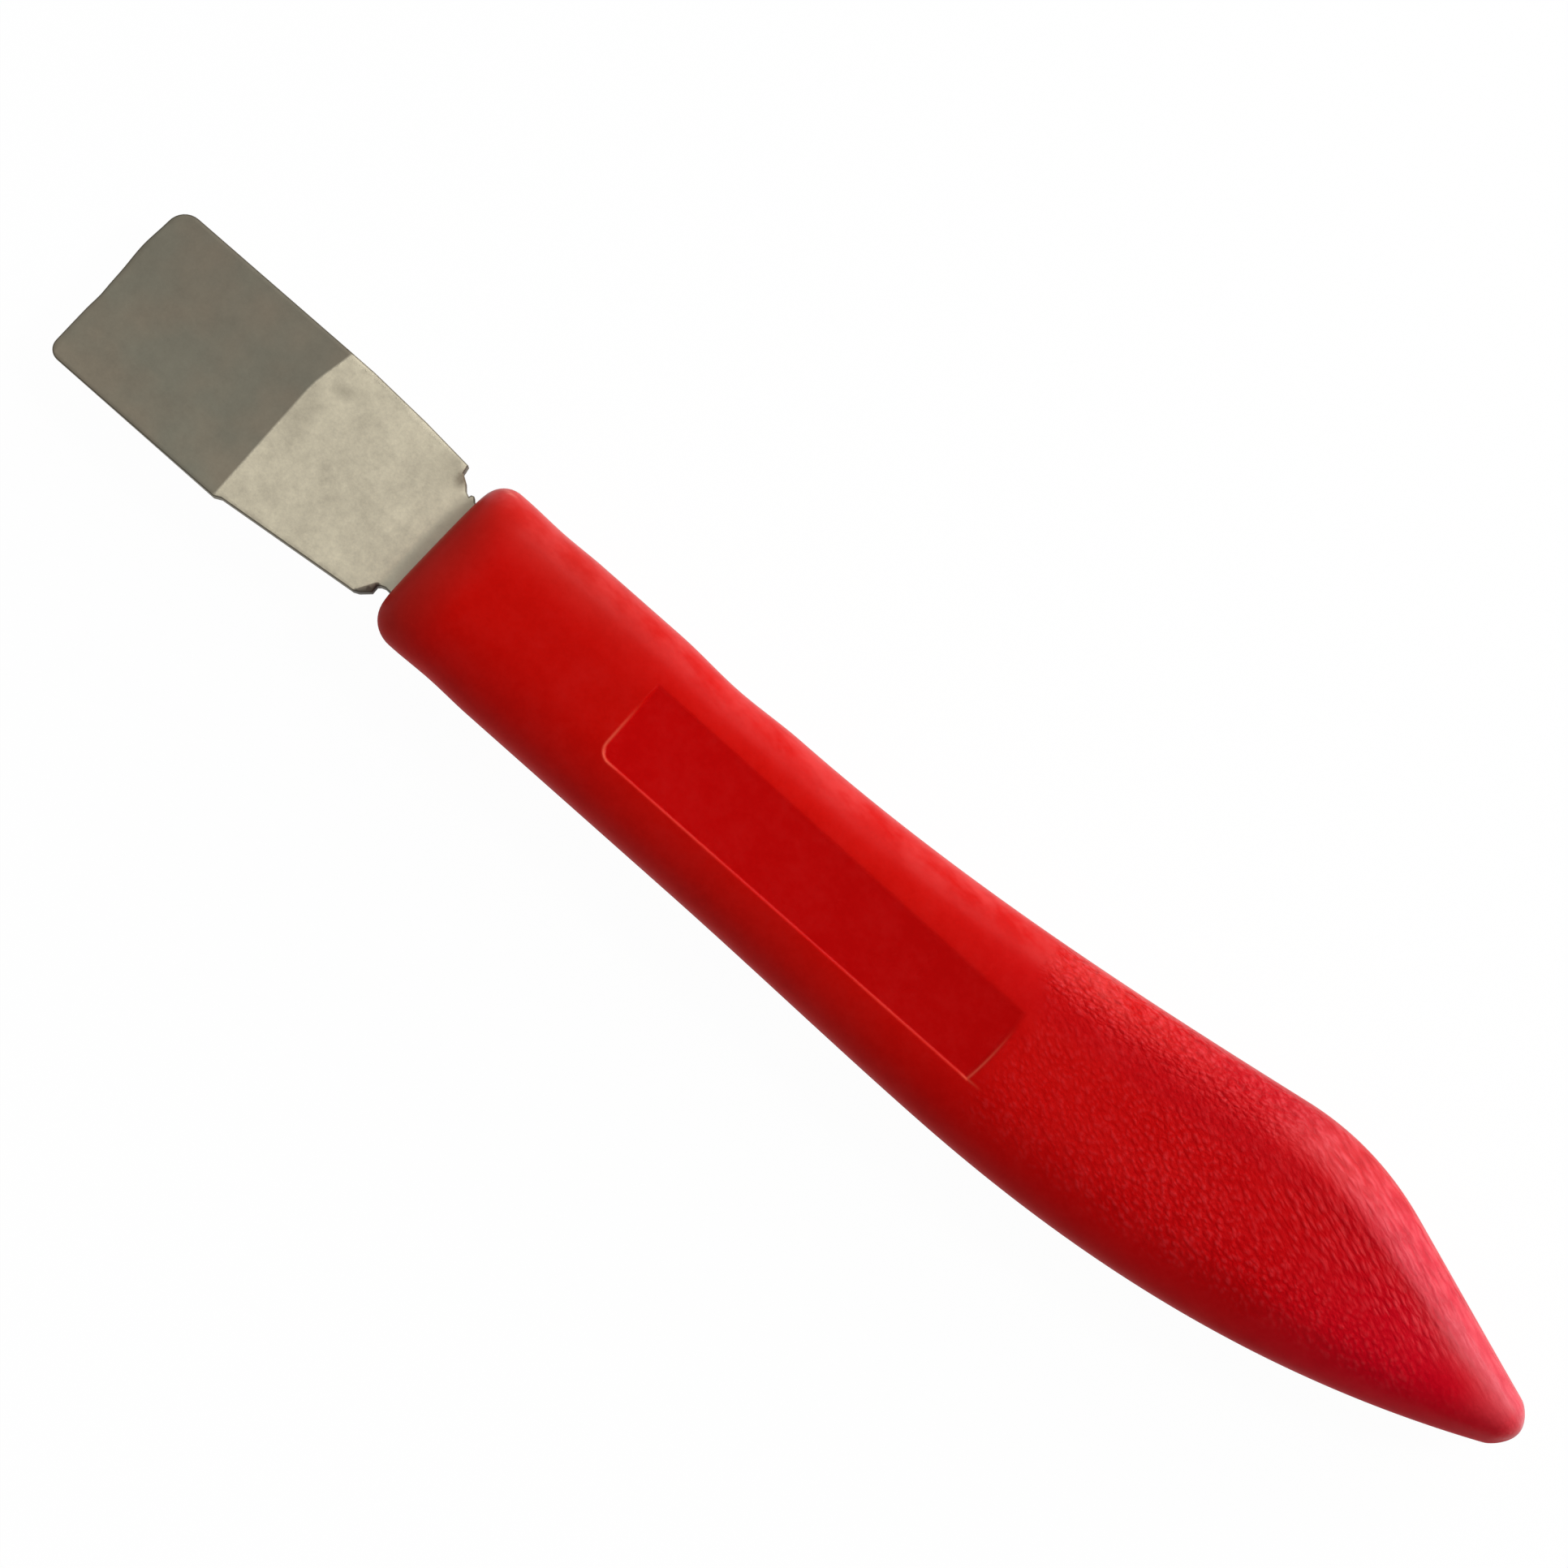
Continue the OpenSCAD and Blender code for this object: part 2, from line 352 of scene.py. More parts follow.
def hump_side(x):
    """Outline on the +Y side: straight grip, rise, rounded hump and straight fall to the nose."""
    grip_end = (GRIP_LEN, GRIP_W / 2, 0)
    hump_start = (HUMP_X - HUMP_ROUND, HUMP_Y - HUMP_ROUND * HUMP_RISE, HUMP_RISE)
    hump_end = (HUMP_X + HUMP_ROUND, HUMP_Y + HUMP_ROUND * FALL_SLOPE, FALL_SLOPE)
    fall = HUMP_Y + (x - HUMP_X) * FALL_SLOPE
    rise = np.where(x <= hump_start[0], cubic(grip_end, hump_start, x), cubic(hump_start, hump_end, x))
    rear = np.where(x <= hump_end[0], rise, fall)
    waist = dip(x, middle=32, depth=0.33, reach=8)
    return np.where(x <= GRIP_LEN, GRIP_W / 2, rear) - waist - front_dip(x)


def keel_side(x):
    """Outline on the -Y side: straight grip, swell to its widest point, then one sweep to the nose."""
    slope = (GRIP_W / 2 - KEEL_GRIP_Y) / GRIP_LEN
    grip_end = (GRIP_LEN, -KEEL_GRIP_Y, slope)
    wide = (KEEL_X, -KEEL_Y, 0)
    end = (NOSE_X, NOSE_Y - NOSE_W / 2, KEEL_SLOPE)
    past_end = end[1] + (x - NOSE_X) * KEEL_SLOPE
    sweep = np.where(x <= NOSE_X, cubic(wide, end, x), past_end)
    swell = np.where(x <= KEEL_X, cubic(grip_end, wide, x), sweep)
    return np.where(x <= GRIP_LEN, slope * x - GRIP_W / 2, swell) + front_dip(x)


def half_thickness(x):
    """Half of the handle's thickness, which falls towards the nose."""
    thinning = cubic((THIN_X, HANDLE_T / 2, 0), (NOSE_X, NOSE_T / 2, -NOSE_FALL), x)
    past_end = NOSE_T / 2 - (x - NOSE_X) * NOSE_FALL
    return np.where(x <= THIN_X, HANDLE_T / 2, np.where(x <= NOSE_X, thinning, past_end))


def crown_at(x):
    """Squareness of the section: 2 is an ellipse, and more is squarer."""
    return CROWN + (NOSE_CROWN - CROWN) * smooth(ROUNDER_X, NOSE_X, x)


def section_height(share, crown=CROWN):
    """Height of the rounded section, as a share of its top, at a share of its half width."""
    return np.clip(1 - np.abs(share) ** crown, 0, 1) ** (1 / crown)


def shoulder_fall(x, share):
    """Share of its height that the top loses towards its sides, over the rear of the handle."""
    deepest = np.where(share > 0, HUMP_FALL, KEEL_FALL)
    along = smooth(FALL_START, HUMP_X, x) * (1 - smooth(HUMP_X, FALL_END, x))
    return deepest * along * smooth(FALL_SHARE, 1, np.abs(share))


def panel_top(x):
    """The panel's long edge on the +Y side, which runs in towards the rear."""
    return PANEL_W / 2 - PANEL_TAPER * np.clip((x - PANEL_START) / PANEL_LEN, 0, 1)


def panel_rear(y):
    """The panel's rear edge, which bulges backwards."""
    return PANEL_END + PANEL_BULGE * (1 - (2 * y / PANEL_W) ** 2)


def panel_depth_in(x, y, soft=1.0):
    """Distance from a point to the panel's outline, positive inside it. One front corner is round.

    Distances from the rear edge and the +Y edge are taken as shorter by the factor soft.
    """
    to_edge = np.minimum.reduce([
        x - PANEL_START,
        soft * (panel_rear(y) - x),
        y - PANEL_LOW,
        soft * (panel_top(x) - y),
    ])
    past_x = PANEL_START + PANEL_CORNER_R - x
    past_y = PANEL_LOW + PANEL_CORNER_R - y
    in_corner = (past_x > 0) & (past_y > 0)
    return np.where(in_corner, PANEL_CORNER_R - np.hypot(past_x, past_y), to_edge)


def painted_panel_highlight(x, y):
    """Painted highlight along the panel's edge, strong at the ends of its -Y side and fading towards +Y.

    It runs on a little behind the panel, in line with the -Y side.
    """
    line = bell(panel_depth_in(x, y) + LIP_OUT, LIP_W)
    at_front = 0.85 * (1 - smooth(PANEL_START + 0.3, PANEL_START + 3.5, x))
    at_rear = 0.65 * smooth(PANEL_END - 1.5, PANEL_END, x)
    towards_low = 1 - smooth(-3.2, 2.8, y)
    ends = np.maximum(at_front, at_rear) * towards_low
    uneven = 0.08 + 0.08 * np.sin(x / 5.2 + 1.1) + 0.04 * np.sin(x / 1.9)
    low_side = uneven * smooth(PANEL_LOW + 0.7, PANEL_LOW + 0.4, y)
    tail = 0.4 * bell(y - PANEL_LOW, LIP_TAIL_W) * smooth(PANEL_END + LIP_TAIL, PANEL_END, x)
    return np.maximum(line * np.maximum(ends, low_side), tail * (x > PANEL_END))


def stations():
    """Distances of the handle's sections from its front, closest together at edges and rounded ends."""
    edge_zone = 0.8
    corner_zone = PANEL_CORNER_R + 0.4
    parts = [
        RIM_LEN * (1 - np.cos(np.linspace(0, np.pi / 2, RIM_ROWS))),
        spaced(RIM_LEN, PANEL_START - edge_zone, GRIP_STEP),
        spaced(PANEL_START - edge_zone, PANEL_START + corner_zone, FINE_STEP),
        spaced(PANEL_START + corner_zone, PANEL_END - corner_zone, GRIP_STEP),
        spaced(PANEL_END - corner_zone, PANEL_END + edge_zone, FINE_STEP),
        spaced(PANEL_END + edge_zone, NOSE_X, REAR_STEP),
        NOSE_X + NOSE_R * np.sin(np.linspace(0, NOSE_TURN, NOSE_ROWS))[1:],
    ]
    return np.concatenate(parts)


def even_shares(count):
    """Shares of the half width that are evenly spread round a quarter of the grip's section."""
    samples = 2000
    angle = np.linspace(0, np.pi / 2, samples)
    across = np.sin(angle) ** (2 / CROWN) * GRIP_W / 2
    up = np.cos(angle) ** (2 / CROWN) * HANDLE_T / 2
    steps = np.hypot(np.diff(across), np.diff(up))
    run = np.concatenate([[0], np.cumsum(steps)])
    return np.interp(np.linspace(0, run[-1], count), run, across) / (GRIP_W / 2)


def top_lanes():
    """Lanes over the top of the section, from -1 at the -Y side to 1, fine at the panel's edges."""
    even = even_shares(LANES)
    edge = PANEL_W / 2
    reach = 6 * LANE_STEP
    past_reach = reach + LANE_STEP / 8
    fine = np.concatenate([
        np.arange(-edge - reach, -edge + reach, LANE_STEP),
        np.arange(-edge + reach, -edge + PANEL_CORNER_R, 2 * LANE_STEP),
        np.arange(edge - reach, edge + past_reach, LANE_STEP),
    ]) / (GRIP_W / 2)
    coarse = np.concatenate([-even[::-1], even[1:]])
    nearest = np.abs(coarse[:, None] - fine[None, :]).min(axis=1)
    too_near = 0.012
    return np.unique(np.concatenate([coarse[nearest > too_near], fine]))


def lane_shares(x, panel_low_share, panel_top_share):
    """Share of the half width at which each lane over the top lies.

    Two of the lanes follow the panel's long edges, and settle to an even spread behind it.
    """
    lane = top_lanes()[None, :]
    edge = PANEL_W / GRIP_W
    settled = smooth(PANEL_END, PANEL_END + LANES_SETTLE, x)
    low_edge = (1 - settled) * panel_low_share - settled * edge
    top_edge = (1 - settled) * panel_top_share + settled * edge
    below = -1 + (lane + 1) * (low_edge + 1) / (1 - edge)
    between = low_edge + (lane + edge) * (top_edge - low_edge) / (2 * edge)
    above = 1 - (1 - lane) * (1 - top_edge) / (1 - edge)
    return np.where(lane < -edge, below, np.where(lane > edge, above, between))


def handle_points():
    """Grid of the handle's points, and for each its share of the half width and two marks.

    Each row is one section, which goes round from the -Y side over the top. The marks say how far a
    point is sunk in the panel, and how much painted highlight it gets at the panel's edge.
    """
    x = stations()[:, None]
    top = hump_side(x) - round_in(x, HUMP_CORNER_R)
    low = keel_side(x) + round_in(x, KEEL_CORNER_R)
    middle = (top + low) / 2
    half_w = (top - low) / 2 * nose_share(x)
    half_h = (half_thickness(x) - round_in(x, RIM_LEN) * RIM_DEPTH / RIM_LEN) * nose_share(x)
    lean = FRONT_LEAN * (1 - x / HANDLE_LEN)

    panel_low_share = (PANEL_LOW - middle) / half_w
    panel_top_share = (panel_top(x) - middle) / half_w
    share = lane_shares(x, panel_low_share, panel_top_share)
    top_y = middle + half_w * share
    top_z = MID_Z + half_h * section_height(share, crown_at(x)) * (1 - shoulder_fall(x, share))
    top_x = x + lean * top_y

    # The label panel is pressed in: flush along its +Y edge, with a narrow sloping wall at the others
    sunk = smooth(-PANEL_WALL / 2, PANEL_WALL / 2, panel_depth_in(top_x, top_y, PANEL_SOFT))
    low_z = MID_Z + half_h * section_height(panel_low_share) - PANEL_DEPTH
    flush_z = MID_Z + half_h * section_height(panel_top_share)
    floor_z = low_z + (flush_z - low_z) * (top_y - PANEL_LOW) / (panel_top(x) - PANEL_LOW)
    top_z = top_z + sunk * np.minimum(0, floor_z - top_z)
    panel_edge_highlight = painted_panel_highlight(top_x, top_y)

    # The underside is cut flat where the tool rests
    even = even_shares(LANES)
    under = np.concatenate([even[::-1], -even[1:]])[None, 1:-1]
    land_bulge = 1 / section_height(LAND_W / GRIP_W)
    under_y = middle + half_w * under
    under_z = np.maximum(0, MID_Z - half_h * section_height(under, crown_at(x)) * land_bulge)
    under_x = x + lean * under_y

    def joined(over, beneath):
        return np.concatenate([over, np.broadcast_to(beneath, under_y.shape)], axis=1)

    places = [FRONT_X + joined(top_x, under_x), joined(top_y, under_y), joined(top_z, under_z)]
    return np.stack(places, axis=2), joined(share, under), joined(sunk, 0), joined(panel_edge_highlight, 0)


def grain_share(x, share):
    """Where the moulded grain shows: over the rear, weaker at the nose, and not at the sides."""
    start = PANEL_END - 3 * smooth(0.3, 0.8, share)
    behind_panel = smooth(start, start + 3, x)
    nose_keeps = 1 - 0.7 * smooth(124, 131, x)
    off_flank = smooth(-0.85, -0.6, share)
    off_rim = 1 - smooth(0.95, 0.995, share)
    return behind_panel * nose_keeps * off_flank * off_rim


def crest_highlight_share(x, share):
    """Where the crest of the rear gets a painted highlight: from a line that runs inwards from hump to
    nose.
    """
    line = np.clip(0.72 - 0.01 * (x - HUMP_X), 0.45, 0.75)
    return smooth(98, 108, x) * smooth(line - 0.22, line, share)


def handle_marks(points, shares):
    """Numbers that tell the handle's material where its grain, tints, painted light and wear lie."""
    x = points[:, :, 0] - FRONT_X
    y = points[:, :, 1]
    lift = (points[:, :, 2] - MID_Z) / half_thickness(x)

    def along(start, end):
        """Goes from 0 to 1 between two distances from the handle's front."""
        return smooth(start, end, x)

    def across(start, end):
        """Goes from 0 to 1 between two shares of the half width."""
        return smooth(start, end, shares)

    faces_up = smooth(0.05, 0.45, lift)
    off_wall = smooth(0.05, 0.4, np.abs(lift))
    long = along(98, 110) * across(-0.4, 0.2)
    shoulder = across(0.4, 0.65)
    fine_grain = 0.6 + 0.4 * np.maximum(along(84, 96), shoulder)
    long_grain = 1 + 0.3 * long
    shoulder_grain = 1 + 0.8 * shoulder * (1 - 0.6 * long)
    front_rim_shade = 1 - along(0.5, 7)
    front_slope_sheen = 0.6 * (1 - along(14, 30)) * across(0.3, 0.7)
    nose_crest_highlight = along(122, 131) * bell(shares - 0.6, 0.35)
    nose_end_highlight = 0.8 * along(131, 137) * bell(shares - 0.1, 0.5)
    return {
        # Relief: its strength, where it is drawn out and where it turns to scales
        "grain": off_wall * grain_share(x, shares) * fine_grain * long_grain * shoulder_grain,
        "long": long,
        "shoulder": shoulder,
        # Painted: sheen blotches on the +Y slope, shade on its rim and in a band beside it, crest
        # highlights
        "slope": faces_up * across(0.62, 0.88) * along(100, 80),
        "rim": faces_up * across(0.6, 0.9) * along(80, 100) * along(112, 100),
        "painted_shade_band": faces_up * along(60, 95) * across(0.2, 0.45) * across(0.8, 0.6),
        "crest": faces_up * crest_highlight_share(x, shares),
        # Painted front rim shade, front slope sheen and nose highlight; lighter, more orange red on the -Y
        # grip
        "front": np.maximum(front_rim_shade, front_slope_sheen),
        "tip": faces_up * (nose_crest_highlight + nose_end_highlight),
        "keel": across(-0.35, -0.7) * along(80, 50),
        # Painted sheen and gloss beside the hump, dullness of the -Y wall, and a scuff on the front's
        # corner
        "gloss_and_painted_sheen": faces_up * along(108, 120) * across(0.4, 0.65) * (1 - across(0.9, 1.0)),
        "flank": 1 - across(-0.95, -0.7),
        "scuff": spot(x, y, middle=(2.2, 9.25), widths=(0.7, 0.14)),
    }


def tang_space(width):
    """Corners, across and up, of the space that the tang fills where it has a width."""
    half_w = width / 2 + TANG_GAP
    half_t = BLADE_T / 2 + TANG_GAP
    return np.array([
        (-half_w, MID_Z - half_t),
        (half_w, MID_Z - half_t),
        (half_w, MID_Z + half_t),
        (-half_w, MID_Z + half_t),
    ])


def build_handle():
    """The moulding: its skin, a cap at the nose, the front face and the space that the tang fills."""
    skin, shares, in_panel, panel_edge_highlight = handle_points()
    rows, columns = skin.shape[:2]
    slot = tang_space(TANG_W)
    deep = tang_space(TANG_END_W)
    slot_x = FRONT_X + FRONT_LEAN * slot[:, 0]
    deep_x = np.full(4, FRONT_X + TANG_LEN + TANG_GAP)
    points = np.concatenate([
        skin.reshape(-1, 3),
        skin[-1].mean(axis=0)[None, :],
        np.column_stack([slot_x, slot]),
        np.column_stack([deep_x, deep]),
    ])
    tip_at = rows * columns
    slot_at = tip_at + 1
    deep_at = slot_at + 4

    # Skin and nose cap
    faces = grid_faces(rows, columns)
    last = tip_at - columns
    faces += [(last + (i + 1) % columns, last + i, tip_at) for i in range(columns)]

    # Front face round the slot, then the walls and the end of the tang's space
    to_mesh = np.concatenate([np.arange(columns)[::-1], slot_at + np.arange(4)[::-1]])
    triangles = fill(skin[0, ::-1, 1:], [slot[::-1]], np.empty((0, 2)))
    faces += [(a, c, b) for a, b, c in to_mesh[triangles].tolist()]
    for i in range(4):
        j = (i + 1) % 4
        faces.append((slot_at + i, deep_at + i, deep_at + j, slot_at + j))
    faces.append((deep_at + 3, deep_at + 2, deep_at + 1, deep_at))

    handle = new_mesh("handle_moulding", points, faces, HANDLE_SMOOTH)
    off_skin = np.zeros(len(points) - tip_at)
    marks = {**handle_marks(skin, shares), "panel": in_panel, "panel_edge_highlight": panel_edge_highlight}
    set_marks(handle, {name: np.concatenate([v.ravel(), off_skin]) for name, v in marks.items()})
    return handle


# Shape of the blade

def edge_line(y):
    """Where the working edge stands: straight, but worn a little proud and hollow in two places."""
    proud = 0.26 * bell(y - 3.8, 2.6)
    hollow = 0.1 * bell(y + 2.8, 1.2)
    return EDGE_X + EDGE_LEAN * (y - (BLADE_TOP + BLADE_LOW) / 2) - proud + hollow


def tang_corners():
    """Corners of the tang behind the handle's front."""
    half_w = TANG_W / 2
    half_end = TANG_END_W / 2
    return [(0, -half_w), (TANG_LEN, -half_end), (TANG_LEN, half_end), (0, half_w)]


def blade_corners():
    """Corners of the blade, going round from the neck's +Y side over the tip and back to the tang."""
    skew = math.degrees(math.atan(EDGE_LEAN))
    top_y = BLADE_TOP - EDGE_CORNER_R
    low_y = BLADE_LOW + LOW_CORNER_R
    top_centre = (edge_line(top_y) + EDGE_CORNER_R / math.cos(math.radians(skew)), top_y)
    low_centre = (edge_line(low_y) + LOW_CORNER_R / math.cos(math.radians(skew)), low_y)
    return [
        *HUMP_SHOULDER,
        *arc(top_centre, EDGE_CORNER_R, 90, 180 - skew, CORNER_POINTS),
        *[(edge_line(y), y) for y in np.linspace(top_y, low_y, EDGE_POINTS)[1:-1]],
        *arc(low_centre, LOW_CORNER_R, 180 - skew, 270, CORNER_POINTS),
        *KEEL_SHOULDER,
        *tang_corners(),
    ]


def grind_line(y):
    """Where the ground bevel starts: straight across, and running back to the handle on the +Y side."""
    run_back = 1.04
    return GRIND_X + run_back * smooth(3.6, 10.5, y)


def facet_depth_in(x, y):
    """Distance past the top edge of the worn facet, positive on the facet."""
    run = FACET[1] - FACET[0]
    along = run / np.linalg.norm(run)
    return (x - FACET[0, 0]) * along[1] - (y - FACET[0, 1]) * along[0]


def near_facet(x, y):
    """Which points are near enough to the -Y shoulder for its facet."""
    return (x > -4) & (x < -1.6) & (y < -6.1)


def blade_top(x, y):
    """Height of the blade's upper face above its mid-plane."""
    fall = (BLADE_T - EDGE_T) / (GRIND_X - EDGE_X)
    ground = BLADE_T / 2 - fall * np.clip(grind_line(y) - x, 0, None)
    cut = FACET_FALL * np.clip(facet_depth_in(x, y), 0, FACET_REACH)
    return ground - np.where(near_facet(x, y), cut, 0)


def edge_loops(outline):
    """Loops from the rim of the lower face, round the blunted edge, to the rim of the upper face."""
    turns = np.radians([0, 30, 60, 90])
    loops = []
    for turn in turns[::-1]:
        loop = moved_in(outline, EDGE_ROUND * (1 - math.cos(turn)))
        heights = np.full(len(loop), -BLADE_T / 2 + EDGE_ROUND * (1 - math.sin(turn)))
        loops.append(np.column_stack([loop, heights]))
    for turn in turns:
        loop = moved_in(outline, EDGE_ROUND * (1 - math.cos(turn)))
        heights = blade_top(loop[:, 0], loop[:, 1]) - EDGE_ROUND * (1 - math.sin(turn))
        loops.append(np.column_stack([loop, heights]))
    return loops


def grind_creases():
    """Rows of points along the grind line."""
    margin = 0.3
    step = 0.25
    y = np.arange(BLADE_LOW + margin, BLADE_TOP - margin, step)
    return [np.column_stack([grind_line(y) + d, y]) for d in (-GRIND_SOFT, 0, GRIND_SOFT)]


def facet_creases():
    """Rows of points along the top edge of the worn facet."""
    run = FACET[1] - FACET[0]
    across = np.array([run[1], -run[0]]) / np.linalg.norm(run)
    along = np.linspace(0.02, 0.98, num=12)[:, None]
    return [FACET[0] + run * along + across * d for d in (-FACET_SOFT, FACET_SOFT)]


def face_spread(outline):
    """Points spread over the blade's faces, so that the bevel can follow its curved grind line."""
    along = np.arange(EDGE_X, SHOULDER_X, FACE_STEP)
    across = np.arange(BLADE_LOW, BLADE_TOP, FACE_STEP)
    x, y = np.meshgrid(along, across)
    spread = np.column_stack([x.ravel(), y.ravel()])
    grind_room = 0.35
    spread = spread[np.abs(spread[:, 0] - grind_line(spread[:, 1])) > grind_room]
    spread = np.concatenate([spread, *grind_creases(), *facet_creases()])
    rim_room = 0.12
    return spread[inside(moved_in(outline, EDGE_ROUND + rim_room), spread)]


def smudge(x, y):
    """Darker stains on the flat: along the grind line, a slanting mark, and at the +Y shoulder."""
    broad = 0.5 * spot(x, y, middle=(-19, 2.2), widths=(1.7, 3.2))
    shoulder = 0.55 * spot(x, y, middle=(-4.2, 7), widths=(2, 2.2))
    past_x = x + 17.3
    past_y = y - 6
    slant = 0.45
    mark = 0.8 * bell(past_x + slant * past_y, 1.8) * bell(past_y - slant * past_x, 0.7)
    return np.maximum.reduce([broad, mark, shoulder])


def blade_marks(points):
    """Numbers that tell the steel where it is ground, stained or worn, and where light is painted."""
    x, y, z = points.T
    ground = 1 - smooth(-GRIND_SOFT, GRIND_SOFT, x - grind_line(y))
    burr_reach = 1.3
    to_burr = np.hypot(x + 2.4, 0.8 * (y - 7.4))
    return {
        "ground": ground * (z > -BLADE_T / 2 + EDGE_ROUND),
        # Painted shade on the worn facet
        "facet": smooth(0, 2 * FACET_SOFT, facet_depth_in(x, y)) * near_facet(x, y),
        "burr": smooth(burr_reach, 0, to_burr),
        "smudge": smudge(x, y),
        # Painted light and shade on the neck, by the handle's front
        "neck": smooth(-1.9, -0.7, x),
    }


def build_blade():
    """The steel strip: its edge all round, two faces with the tang's holes, and the holes' walls."""
    outline = divide(blade_corners(), OUTLINE_STEP)
    loops = edge_loops(outline)
    rim = moved_in(outline, EDGE_ROUND)
    holes = [np.array(arc((x, 0), ANCHOR_D / 2, 360, 15, HOLE_POINTS)) for x in ANCHORS]
    spread = face_spread(outline)
    triangles = fill(rim, holes, spread)

    on_face = np.concatenate([*holes, spread])
    top_face = np.column_stack([on_face, blade_top(on_face[:, 0], on_face[:, 1])])
    low_face = np.column_stack([on_face, np.full(len(on_face), -BLADE_T / 2)])
    points = np.concatenate([*loops, top_face, low_face])
    count = len(outline)
    top_rim = (len(loops) - 1) * count
    top_at = len(loops) * count
    low_at = top_at + len(on_face)

    # Edge, then the two faces, which share their triangles, and the walls of the holes
    faces = [(a, d, c, b) for a, b, c, d in grid_faces(len(loops), count)]
    to_top = np.concatenate([top_rim + np.arange(count), top_at + np.arange(len(on_face))])
    to_low = np.concatenate([np.arange(count), low_at + np.arange(len(on_face))])
    faces += [(a, b, c) for a, b, c in to_top[triangles].tolist()]
    faces += [(a, c, b) for a, b, c in to_low[triangles].tolist()]
    for hole_at in range(0, len(holes) * HOLE_POINTS, HOLE_POINTS):
        for i in range(HOLE_POINTS):
            a = hole_at + i
            b = hole_at + (i + 1) % HOLE_POINTS
            faces.append((top_at + a, low_at + a, low_at + b, top_at + b))

    blade = new_mesh("blade_strip", points + [FRONT_X, 0, MID_Z], faces, BLADE_SMOOTH)
    number = np.arange(len(points))
    # The edge mark tells the material where to paint shade on the blunted edge
    set_marks(blade, {**blade_marks(points), "edge": (number >= count) & (number < top_rim)})
    return blade


# Materials

def colour(red, green, blue):
    """Shader colour from the 0 to 255 values that a picture shows, by the sRGB curve."""
    def linear(level):
        share = level / 255
        return share / 12.92 if share <= 0.04045 else ((share + 0.055) / 1.055) ** 2.4
    return (linear(red), linear(green), linear(blue), 1)


class Nodes:
    """Nodes of a material or world, with short calls to add and join them."""

    def __init__(self, owner):
        owner.use_nodes = True
        self.nodes = owner.node_tree.nodes
        self.links = owner.node_tree.links

    def put(self, socket, value):
        """Joins a socket to another one, or sets it to a constant."""
        if isinstance(value, bpy.types.NodeSocket):
            self.links.new(value, socket)
        else:
            socket.default_value = value

    def add(self, kind, inputs, **settings):
        """New node with its inputs, by name or number, and its settings."""
        made = self.nodes.new(kind)
        for name, value in settings.items():
            setattr(made, name, value)
        for key, value in inputs.items():
            self.put(made.inputs[key], value)
        return made

    def axis(self, place, name):
        """One of a place's three coordinates."""
        return self.add("ShaderNodeSeparateXYZ", {"Vector": place}).outputs[name]

    def spread(self, value, source, target=(0, 1)):
        """Value mapped from a source range to a target range, and kept inside it."""
        inputs = {
            "Value": value,
            "From Min": source[0],
            "From Max": source[1],
            "To Min": target[0],
            "To Max": target[1],
        }
        return self.add("ShaderNodeMapRange", inputs).outputs["Result"]

    def math(self, operation, a, b=0.0, c=0.0):
        return self.add("ShaderNodeMath", {0: a, 1: b, 2: c}, operation=operation).outputs["Value"]


